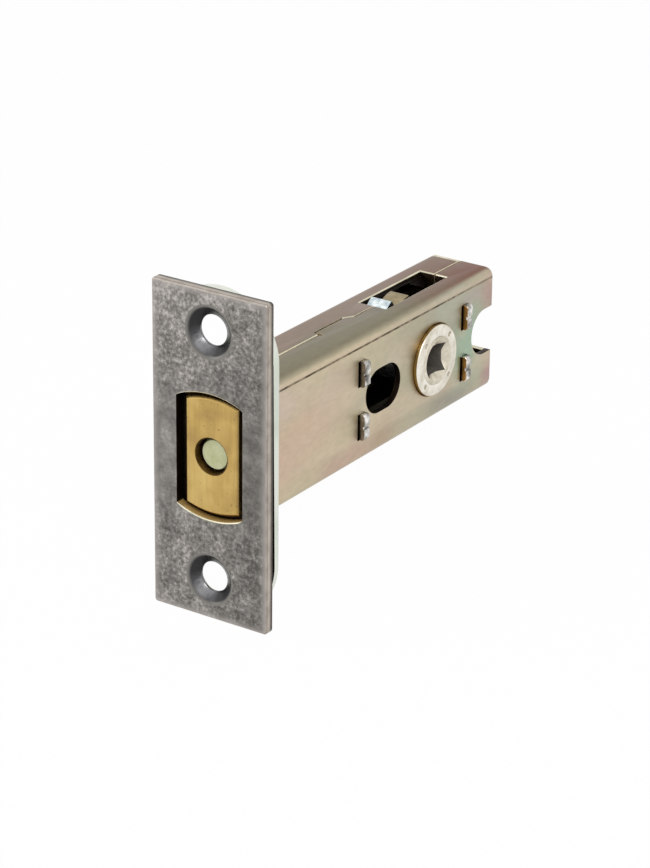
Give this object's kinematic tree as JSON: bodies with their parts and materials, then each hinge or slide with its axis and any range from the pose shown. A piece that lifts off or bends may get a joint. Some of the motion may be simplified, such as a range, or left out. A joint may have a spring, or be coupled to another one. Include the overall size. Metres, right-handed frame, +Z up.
{
  "type": "tubular deadbolt",
  "caption": "Tubular deadbolt: brass bolt in a folded steel case behind a square forend, thrown by a hub with a square spindle hole between bolt-through openings.",
  "frame": {"origin": "centre of the forend's front face, midway between its screw holes; the bolt is withdrawn", "axes": "+Y from the forend back along the case into the door, +Z up, +X to the right seen from the forend; the bolt throws along -Y"},
  "size_m": [0.0226, 0.076, 0.057],
  "materials": {
    "forend": "tumbled dark nickel plate on steel",
    "backing_plate": "pale yellow zinc passivate on steel",
    "case": "iridescent yellow zinc passivate on folded steel",
    "bolt": "plain machined brass",
    "bolt_pin": "hardened steel, pale zinc passivate",
    "bolt_tail": "yellow zinc passivate on steel strip",
    "tail_rivet_upper": "plain steel",
    "tail_rivet_lower": "plain steel",
    "drive_pin": "ground steel",
    "hub_core": "blue-white zinc plated die casting",
    "hub_cam": "yellow zinc passivate on steel",
    "hub_bush_right": "pale zinc die casting",
    "hub_bush_left": "pale zinc die casting",
    "front_guide_plate": "bright zinc plated steel",
    "rear_spacer_plate": "bright zinc plated steel",
    "friction_spring": "spring steel"
  },
  "bodies": {
    "case_body": {"forend": "forend", "backing_plate": "backing_plate", "case": "case", "front_guide_plate": "front_guide_plate", "rear_spacer_plate": "rear_spacer_plate", "friction_spring": "friction_spring"},
    "bolt_body": {"bolt": "bolt", "bolt_pin": "bolt_pin", "bolt_tail": "bolt_tail", "tail_rivet_upper": "tail_rivet_upper", "tail_rivet_lower": "tail_rivet_lower", "drive_pin": "drive_pin"},
    "hub_body": {"hub_core": "hub_core", "hub_cam": "hub_cam", "hub_bush_right": "hub_bush_right", "hub_bush_left": "hub_bush_left"}
  },
  "joints": [
    {"name": "hub_turn", "type": "hinge", "parent": "case_body", "child": "hub_body", "pos_m": [0, 0.057, 0], "axis": [-1, 0, 0], "range_deg": [0, 72]},
    {"name": "bolt_slide", "type": "slide", "parent": "case_body", "child": "bolt_body", "axis": [0, -1, 0], "range_m": [0, 0.01104]}
  ],
  "couplings": [
    {"joint": "hub_turn", "follows": "bolt_slide", "rad_per_m": 113.79}
  ]
}
